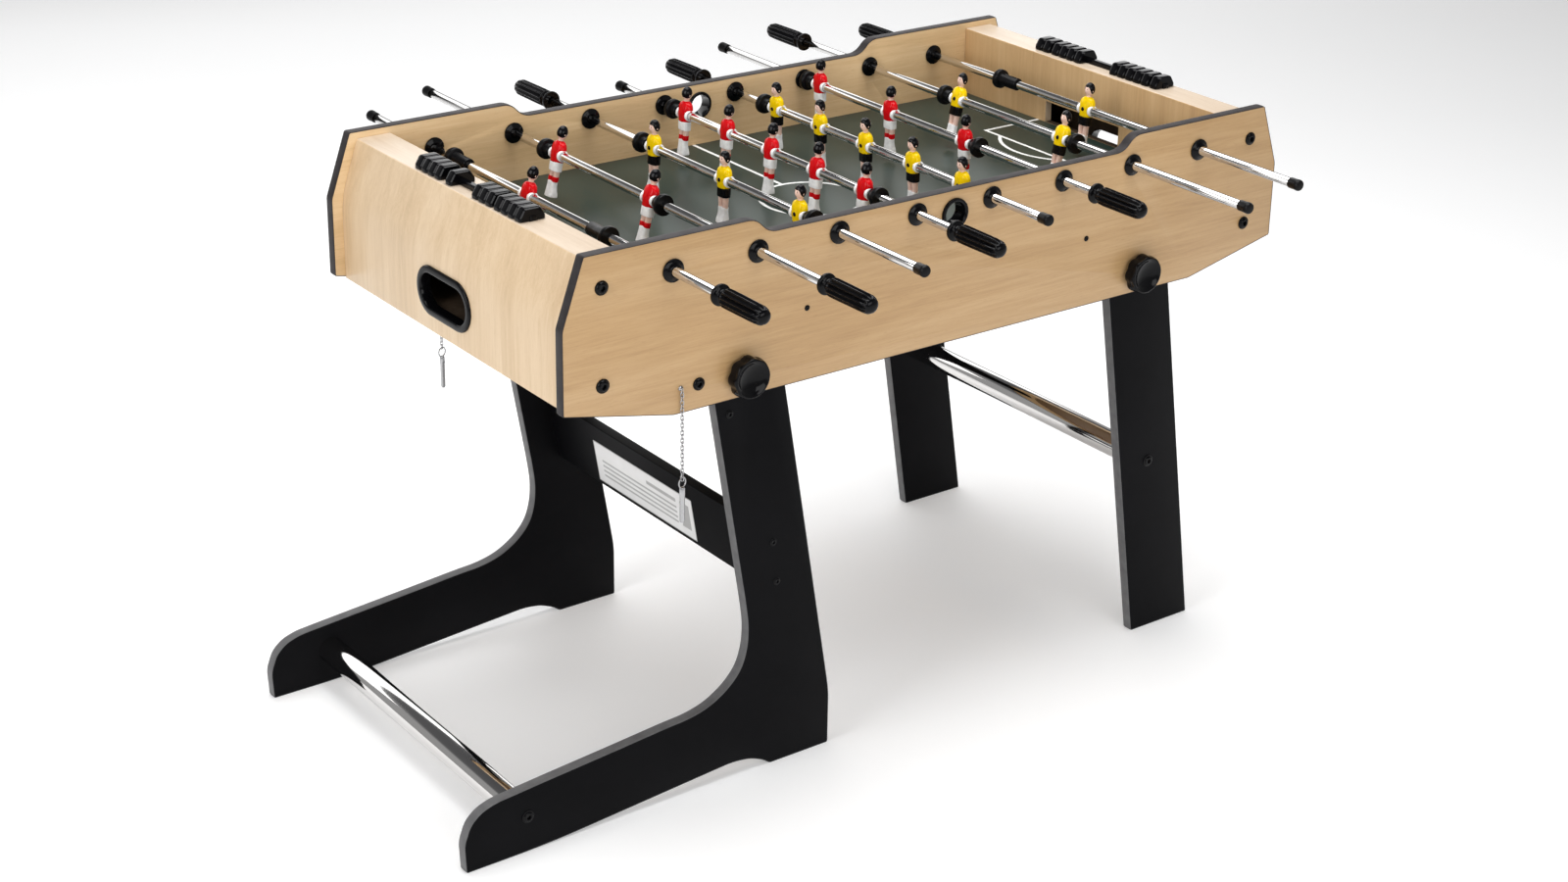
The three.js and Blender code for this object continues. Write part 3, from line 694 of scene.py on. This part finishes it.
def figure(team):
    """A player about the rod axis, facing +X, as (surface, finish) pairs."""
    shirt = "red_paint" if team == "red" else "yellow_paint"
    shorts = "white_paint" if team == "red" else "black_paint"
    parts = []

    def put(surface, paint):
        """Adds one surface with its paint to the player."""
        parts.append((surface, paint))

    put(stack([(-10.5, 8.8, 7.0, 0, 0), (-10, 10.0, 8.0, 0, 0), (-5, 10.5, 8.3, 0, 0),
               (1, 11.8, 8.7, 0, 0), (8, 12.3, 8.5, 0.1, 0), (13.5, 11.8, 7.5, 0.1, 0),
               (16.8, 9.4, 6.3, 0, 0), (18.6, 6.0, 5.4, 0, 0), (19.4, 4.6, 4.4, 0.1, 0)],
              32, 26, 2.5), shirt)
    for s in (-1, 1):
        put(stack([(1.5, 2.2, 3.2, 0.6, s * 10.8), (4, 3.2, 4.4, 0.4, s * 10.8),
                   (9, 3.4, 4.9, 0.1, s * 10.4), (14, 2.8, 4.4, 0, s * 9.3),
                   (16.6, 1.6, 2.9, 0, s * 8.4)], 16, 10, 2.2), shirt)
        put(turned([(6.5, 9), (8.0, 9), (8.4, 12.0), (8.2, 13.4), (7.4, 14.0), (6.5, 13.8)],
                   n=28, closed=True, flip=s < 0), "white_paint")
    put(stack([(-9.5, 8.8, 6.8, 0, 0), (-10, 9.9, 7.6, 0, 0), (-16, 10.4, 7.4, 0, 0),
               (-21.5, 10.8, 7.0, 0.2, 0), (-23.2, 10.5, 6.7, 0.2, 0), (-23.4, 9, 5.4, 0.2, 0)],
              28, 18, 2.8), shorts)
    for s in (-1, 1):
        put(stack([(-21, 4.2, 4.6, 0.2, s * 4.7), (-28, 4.1, 4.5, 0.3, s * 4.6),
                   (-34, 3.9, 4.3, 0.1, s * 4.4), (-38.6, 3.9, 4.3, 0, s * 4.3)], 16, 8, 2.2),
            "skin_paint")
        if team == "red":
            put(stack([(-31.2, 3.8, 4.2, 0.1, s * 4.4), (-31.6, 4.5, 4.9, 0.1, s * 4.4),
                       (-37.8, 4.4, 4.8, 0.1, s * 4.4), (-38.4, 3.8, 4.2, 0.1, s * 4.4)],
                      16, 12, 2.3), "red_paint")
    feet = stack([(-37.4, 6.2, 3.6, 0, 0), (-37.9, 7.9, 5.0, 0, 0), (-44, 7.9, 5.2, 0, 0),
                  (-50, 8.4, 5.9, 0.3, 0), (-55, 9.1, 6.8, 0.9, 0), (-59, 9.3, 7.2, 1.1, 0),
                  (-60.2, 8.8, 6.8, 1.1, 0), (-60.3, 7.0, 5.4, 1.1, 0)], 40, 30, 3.4)
    pinch = 1 - 0.24 * np.exp(-(feet[0][:, 1] / 1.2) ** 2) * np.clip(
        (feet[0][:, 2] + 60) / 14, 0, 1)
    feet[0][:, 0] *= pinch
    put(feet, "white_paint")
    put(stack([(15, 4.0, 4.2, 0, 0), (20, 3.6, 3.9, 0.2, 0), (25, 3.9, 4.3, 0.4, 0)], 16, 6, 2),
        "skin_paint")
    a = np.linspace(-np.pi, np.pi, 36, endpoint=False)[:, None]
    b = np.linspace(0, np.pi, 24)[None, :]
    put(skin(head_point(a + 0 * b, b + 0 * a) + HEAD, around=True), "skin_paint")
    # hair: the head's own surface, prouder, from the crown down to the hairline and the nape
    v = np.linspace(0, 1, 16)[None, :]
    hairline = 2.18 - 1.08 * np.exp(-((a / 1.05) ** 4)) + 0.08 * np.cos(3 * a)
    tilt = v * hairline
    proud = 1 + 0.15 * (1 - v**5) - 0.04 * v**12 + 0.02 * np.cos(6 * a) * np.sin(np.pi * v)
    hair = head_point(a + 0 * tilt, tilt) * proud[..., None]
    inner = head_point(a + 0 * tilt, tilt)[:, ::-1] * 0.9
    put(skin(np.concatenate([hair, inner], 1) + HEAD, around=True), "hair_paint")
    for s in (-1, 1):
        put(ball(7.5, s * 2.6, 30.6, 0.5, 0.8, 0.6, 8), "black_paint")
        put(ball(7.45, s * 2.7, 32.4, 0.4, 1.3, 0.3, 8), "black_paint")
        put(ball(0.4, s * 6.8, 29.2, 1.4, 0.9, 2.1, 10), "skin_paint")
    put(ball(6.9, 0, 25.0, 0.5, 1.6, 0.38, 8), "lip_paint")
    # screw that holds the figure on its rod, under a round dot on the yellow shirts
    screw = turned([(0, 0.1), (2.7, 0.1), (3.0, 0.4), (2.7, 0.9), (1.0, 1.1), (0, 1.1)], n=20)
    put((screw[0][:, [1, 0, 2]] + [8.45, 0, 1.0], screw[1]), "black_paint")
    return parts


TEAMS = {team: figure(team) for team in ("red", "yellow")}


# ---- rods, handles, bumpers, caps, players ---------------------------------------------
def handle_grip(x, y, out):
    """Turned grip about the rod's axis; along its barrel the radius dips in twelve narrow
    grooves, with round-topped ribs between them, that fade out at both ends."""
    r = flow([(6.5, 0), (12.9, 0.1), (13.9, 0.9), (14.1, 2.8), (13.4, 4.3), (10.4, 5.5), (8.2, 7.0),
              (7.7, 9.6), (8.0, 12.6), (9.8, 14.2), (12.0, 15.4), (12.8, 18), (12.9, 30),
              (12.7, 60), (12.5, 79), (12.0, 85), (10.3, 90.4), (7.0, 93.7), (2.8, 94.9),
              (0, 95)], 110)
    a = np.linspace(0, 2 * np.pi, 144, endpoint=False)[:, None]
    fade = np.clip((r[:, 1] - 15) / 2, 0, 1) * np.clip((92 - r[:, 1]) / 7, 0, 1)
    rad = np.maximum(r[:, 0], 0) - 3.0 * np.abs(np.cos(6 * a)) ** 2.2 * fade
    p = np.stack([x + rad * np.cos(a), np.broadcast_to(y + out * r[:, 1], rad.shape),
                  ROD_Z + rad * np.sin(a)], -1)
    return skin(p, around=True)


for i, (team, players, spacing, stop, rest, lean, trim) in enumerate(RODS):
    n, x = i + 1, ROD_X[i]
    hand = -1 if team == "red" else 1
    travel = STOP_FACE - stop
    flange = HANDLE_STANDOFF + travel - (trim if hand < 0 else 0)
    tip = CAP_STANDOFF + travel - (trim if hand > 0 else 0)
    ends = sorted((hand * (flange + 80), -hand * (tip - 1)))
    r = ROD_RADIUS
    tube = [(r - 1.2, ends[0]), (r - 0.4, ends[0]), (r, ends[0] + 0.5), (r, ends[1] - 0.5),
            (r - 0.4, ends[1]), (r - 1.2, ends[1])]
    piece(f"rod_{n}_steel", [(turned(tube, x, rest, ROD_Z, 40, True), "chrome")], f"rod_{n}",
          [f"rod_{n}_tube"])

    profile = [(0, 17.6), (6.35, 17.6), (6.35, 0), (7.0, 0.2), (7.5, 1.2), (7.6, 12.4),
               (7.9, 13.2), (7.9, 16.6), (7.0, 18.3), (3.4, 18.9), (0, CAP_LENGTH)]
    cap = turned(profile, x, rest - hand * (tip - CAP_LENGTH), ROD_Z, 36, False, hand > 0)
    piece(f"rod_{n}_cap", [(cap, "rubber")], f"rod_{n}", sharp=50)

    neck = 45.0 if players == 1 else 18.0
    bumper = [(6.4, 0), (14.2, 0.1), (14.6, 1.2), (14.6, 6.4), (14.0, 7.8), (12.2, 8.4),
              (9.8, 8.8), (9.4, 10.4), (9.4, neck - 1), (8.6, neck), (6.4, neck)]
    for label, s in (("low", -1), ("high", 1)):
        pad = turned(bumper, x, rest + s * stop, ROD_Z, 44, True, s > 0)
        piece(f"rod_{n}_bumper_{label}", [(pad, "rubber")], f"rod_{n}", sharp=50)

    piece(f"rod_{n}_grip", [(handle_grip(x, rest + hand * flange, hand), "moulding")],
          f"rod_{n}_team", [f"rod_{n}_handle"], 30)
    for k in range(players):
        y = rest + ((players - 1) / 2 - k) * spacing
        facing = 0 if team == "red" else 180
        parts = [(moved(s, x, y, ROD_Z, lean, facing), paint) for s, paint in TEAMS[team]]
        piece(f"rod_{n}_figure_{k + 1}", parts, f"rod_{n}_team", [f"rod_{n}_player_{k + 1}"],
              60)

# ---- legs ------------------------------------------------------------------------------
FOOT = [(-748, 0), (-750, 42), (-740, 68), (-724, 82), (-702, 89), (-624, 96), (-517, 105),
        (-440, 112), (-405, 114), (-372, 122), (-342, 140), (-322, 162), (-313, 190), (-311, 222),
        (-316, 258), (-331, 344), (-377, 610), (-370, 626), (-352, 636), (-298, 636),
        (-280, 628), (-268, 612), (-262, 594), (-255, 556), (-178, 112), (-173, 82), (-173, 0),
        (-273, 0), (-285, 9), (-306, 18), (-334, 22), (-441, 14), (-626, 0)]
FOOT_EASE = [3.5, 9, 9, 9, 9, 30, 30, 16, 16, 16, 16, 14, 14, 16, 18, 40, 8, 9, 9, 9, 9, 9, 9, 18,
             14, 14, 3.5, 3.5, 7, 10, 14, 50, 60]
PROP = [(403, 0), (519, 0), (422, 600), (416, 618), (400, 632), (380, 636), (330, 636), (312, 628),
        (305, 612), (306, 598)]
PROP_EASE = [3.5, 3.5, 9, 9, 9, 9, 9, 9, 7, 7]
for kind, corners, ease in (("foot", FOOT, FOOT_EASE), ("prop", PROP, PROP_EASE)):
    shape = eased(corners, ease, 10)
    core = shape - normals(shape) * EDGE_BAND
    pivot = -PIVOT_X if kind == "foot" else PIVOT_X
    for name, side in SIDES:
        y0, y1 = sorted((side * LEG_OUTER, side * LEG_INNER))
        leg = piece(f"{kind}_leg_board_{name}", [(board(core, y0, y1, 0.25), "black_board")], None)
        without(leg, bore(PIVOT_RADIUS, pivot, PIVOT_Z, y0, y1, 20))
        settle(leg, f"{kind}_frame", [f"{kind}_leg_{name}"], 30)
        piece(f"{kind}_leg_edge_{name}", [(banded(core, strip(y0 - 0.15, y1 + 0.15)), "leg_edge")],
              f"{kind}_frame", sharp=35)

for name, (x, z), body in (("foot", (-656, 52), "foot_frame"), ("prop", (413, 281), "prop_frame")):
    rail = [(17.4, -266.6), (18.8, -266.6), (19, -266), (19, 266), (18.8, 266.6), (17.4, 266.6)]
    piece(f"{name}_cross_rail", [(turned(rail, x, 0, z, 48, True), "chrome")], body,
          [f"{name}_tube"])
    heads = [screw_head(x, side * (LEG_OUTER + PROUD), z, 9.0, 3.6, side) for _, side in SIDES]
    piece(f"{name}_rail_bolts", [(together(*heads), "moulding")], body, sharp=45)

heads = [screw_head(x, side * (LEG_OUTER + PROUD), z, r, h, side) for _, side in SIDES
         for x, z, r, h in ((-344, 539, 5.9, 2.4), (-272, 337, 5.6, 2.2), (-265, 277, 5.6, 2.2))]
piece("foot_leg_screws", [(together(*heads), "moulding")], "foot_frame", sharp=45)

def on_stretcher(surface):
    """Carries a shape made about the stretcher's middle to its place between the foot legs."""
    return moved(surface, STRETCHER_X, 0, STRETCHER_Z, STRETCHER_LEAN)


def on_label(y0, y1, z0, z1, proud):
    """A thin rectangle with rounded corners lying on the stretcher's outer face, its place
    given from the label's middle."""
    p, f = board(eased([(y0, z0), (y1, z0), (y1, z1), (y0, z1)], 1.2, 4), -proud, 0.1, 0.02)
    return on_stretcher((p[:, [1, 0, 2]] + [-7.55, 27.0, -10.5], f))


plank = eased([(-7.5, -50), (7.5, -50), (7.5, 50), (-7.5, 50)], 1.2, 4)
piece("stretcher_board", [(on_stretcher(board(plank, -266.7, 266.7, 0.5)), "black_board")],
      "foot_frame", ["foot_stretcher"])

# plain label: grey border, white sheet, grey bars and a grey block
bars = [on_label(-126, 126, -33.5, 33.5, 0.06), on_label(-84, -10, 14, 20, 0.2)]
bars += [on_label(-84, 108, z, z + 3.2, 0.2) for z in (4, -4, -12, -20)]
piece("stretcher_label", [(together(*bars), "label_grey"),
                          (on_label(-124.4, 124.4, -31.9, 31.9, 0.13), "label"),
                          (on_label(-116, -94, -20, 20, 0.2), "label_grey")], "foot_frame")


# ---- knobs -----------------------------------------------------------------------------
def knob(x, side):
    """Eight-lobed clamp knob: a turned profile whose rim is drawn in between the lobes, with a
    dished front, and its bolt through the panel and the leg."""
    prof = flow([(13.5, 0.4), (14, 3), (18, 4.8), (25.4, 5.6), (28, 7.2), (28.6, 10), (28.5, 14),
                 (28, 18), (27.2, 21.6), (25.8, 23.6), (24.2, 24), (22.4, 23.2), (18, 20.6),
                 (12, 18.6), (6, 17.4), (0, 17)], 60)
    a = np.linspace(0, 2 * np.pi, 128, endpoint=False)[:, None]
    grip = np.clip((prof[:, 0] - 19) / 7, 0, 1) * np.clip(1 - (prof[:, 1] - 19) / 4.5, 0, 1)
    draw = 2.3 * (0.5 - 0.5 * np.cos(8 * a)) ** 1.3
    rad = np.maximum(prof[:, 0] - draw * grip, 0)
    p = np.stack([x + rad * np.cos(a), np.broadcast_to(side * (OUTER + prof[:, 1]), rad.shape),
                  PIVOT_Z + rad * np.sin(a)], -1)
    vertices, faces = skin(p, around=True)
    faces.append([k * len(prof) for k in range(len(a))])
    bolt = turned([(0, 262), (3.4, 262), (3.9, 262.6), (3.9, 305.2), (0, 305.2)], x, 0, PIVOT_Z,
                  24, False, side < 0)
    return (vertices, faces), bolt


for kind, x in (("foot", -PIVOT_X), ("prop", PIVOT_X)):
    for name, side in SIDES:
        head, bolt = knob(x, side)
        piece(f"clamp_{kind}_{name}", [(head, "moulding"), (bolt, "zinc")],
              f"knob_{kind}_{name}", [f"knob_{kind}_{name}"], 50)


# ---- lock pins on their chains -----------------------------------------------------------
def loop_of_wire(cx, cy, cz, long, wide, wire, facing):
    """A wire link: a circle section carried round an upright stadium; facing turns it about z."""
    path = stadium(long, wide, 9)
    n = normals(path)
    b = np.linspace(0, 2 * np.pi, 8, endpoint=False)[None, :, None]
    flat = path[:, None, :] + n[:, None, :] * wire * np.cos(b)
    up = wire * np.sin(b)[..., 0] * np.ones((len(path), 1))
    p = np.stack([flat[..., 1], up, flat[..., 0]], -1)
    s, c = math.sin(facing), math.cos(facing)
    p = p @ np.array([[c, s, 0], [-s, c, 0], [0, 0, 1]])
    return skin(p + [cx, cy, cz], around=True, along=True)


for name, side in SIDES:
    x, y = CHAIN_X, side * CHAIN_Y
    drop = 28.0 if side > 0 else 0.0          # the far chain hangs lower
    links = [loop_of_wire(x, y, z, 7.4, 4.2, 0.62, 0.5 + (k % 2) * math.pi / 2)
             for k, z in enumerate(np.arange(PIVOT_Z, 482.0 - drop, -5.2))]
    ring = loop_of_wire(x, y, 476.5 - drop, 13.6, 13.4, 0.9, 0.3)
    pin = [(0, 0), (2.6, 0.2), (3.3, 2.2), (3.3, 36), (3.6, 37), (3.6, 46.6), (2.8, 48.8), (0, 49)]
    shank = turned(pin, n=24)
    shank = (shank[0][:, [0, 2, 1]] + [x, y, 421.4 - drop], shank[1])
    eye = turned([(0, 0), (3.4, 0), (3.6, 0.8), (3.0, 1.8), (1.2, 2.4), (0, 2.4)], x, side * 305.1,
                 604.5, 20, False, side < 0)
    piece(f"chain_{name}", [(together(*links, ring, shank, eye), "zinc")], f"lock_pin_{name}",
          [f"lock_pin_{name}"], 60)

# ---- floor, light, camera ----------------------------------------------------------------
floor_mesh = bpy.data.meshes.new("floor")
floor_mesh.from_pydata([(-9, -9, 0), (9, -9, 0), (9, 9, 0), (-9, 9, 0)], [], [(0, 1, 2, 3)])
floor = bpy.data.objects.new("floor", floor_mesh)
bpy.context.scene.collection.objects.link(floor)
tree, bsdf = finish("floor_paint", roughness=0.7, specular_ior_level=0.1,
                    emission_color=(1.0, 1.0, 1.0), emission_strength=0.22)
tree.links.new(ramp(tree, noise(tree, (0.6, 0.6, 0.6), 2.0), (0.3, (0.86, 0.86, 0.86)),
                    (0.7, (0.89, 0.89, 0.89))), bsdf.inputs["Base Color"])
floor_mesh.materials.append(stuff["floor_paint"])
floor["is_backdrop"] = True

scene = bpy.context.scene
world = bpy.data.worlds.new("room")
scene.world = world
world.use_nodes = True
sky = world.node_tree
height = node(sky, "SeparateXYZ", {"Vector": node(sky, "TexCoord").outputs["Generated"]}).outputs[2]
glow = ramp(sky, height, (0.0, (1.0, 1.0, 1.0)), (0.46, (1.0, 1.0, 1.0)),
            (0.58, (0.32, 0.32, 0.33)), (1.0, (0.2, 0.2, 0.21)))
sky.links.new(glow, sky.nodes["Background"].inputs["Color"])
sky.nodes["Background"].inputs["Strength"].default_value = 0.40


def lamp(name, place, aim, size, power):
    """A rectangular soft light, in metres and watts, turned towards a point."""
    light = bpy.data.lights.new(name, "AREA")
    light.shape, light.size, light.size_y, light.energy = "RECTANGLE", size[0], size[1], power
    obj = bpy.data.objects.new(name, light)
    scene.collection.objects.link(obj)
    obj.location = place
    obj.rotation_euler = (Vector(aim) - Vector(place)).to_track_quat("-Z", "Y").to_euler()


lamp("left_window", (-3.4, -0.6, 2.2), (0, 0, 0.6), (1.6, 2.6), 62)
lamp("front_fill", (-0.6, -3.8, 1.8), (0, 0, 0.6), (3.0, 1.6), 46)
lamp("rear_card", (0.9, 4.3, 1.95), (0, 0, 0.8), (7.5, 1.7), 62)
lamp("overhead", (0.3, 0.2, 3.4), (0, 0, 0.6), (2.8, 2.8), 125)

# the camera looks along yaw (from +X towards +Y), down by pitch, and is rolled about that line
yaw, pitch, roll = (math.radians(v) for v in (52.515, 22.271, 1.286))
look = np.array([math.cos(yaw) * math.cos(pitch), math.sin(yaw) * math.cos(pitch),
                 -math.sin(pitch)])
right = np.array([math.sin(yaw), -math.cos(yaw), 0.0])
up = np.cross(right, look)
right, up = (math.cos(roll) * right + math.sin(roll) * up,
             -math.sin(roll) * right + math.cos(roll) * up)
camera_data = bpy.data.cameras.new("camera")
camera_data.sensor_width, camera_data.lens = 36.0, 60.03
camera_data.shift_x, camera_data.shift_y = -0.0294, -0.0458
camera_data.clip_start, camera_data.clip_end = 0.1, 60.0
camera = bpy.data.objects.new("camera", camera_data)
scene.collection.objects.link(camera)
place = np.array([-2.1153, -2.8015, 1.8647]) + MIDDLE
camera.matrix_world = Matrix(((right[0], up[0], -look[0], place[0]),
                              (right[1], up[1], -look[1], place[1]),
                              (right[2], up[2], -look[2], place[2]), (0, 0, 0, 1)))
scene.camera = camera
scene.view_settings.view_transform = "Standard"

low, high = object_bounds()
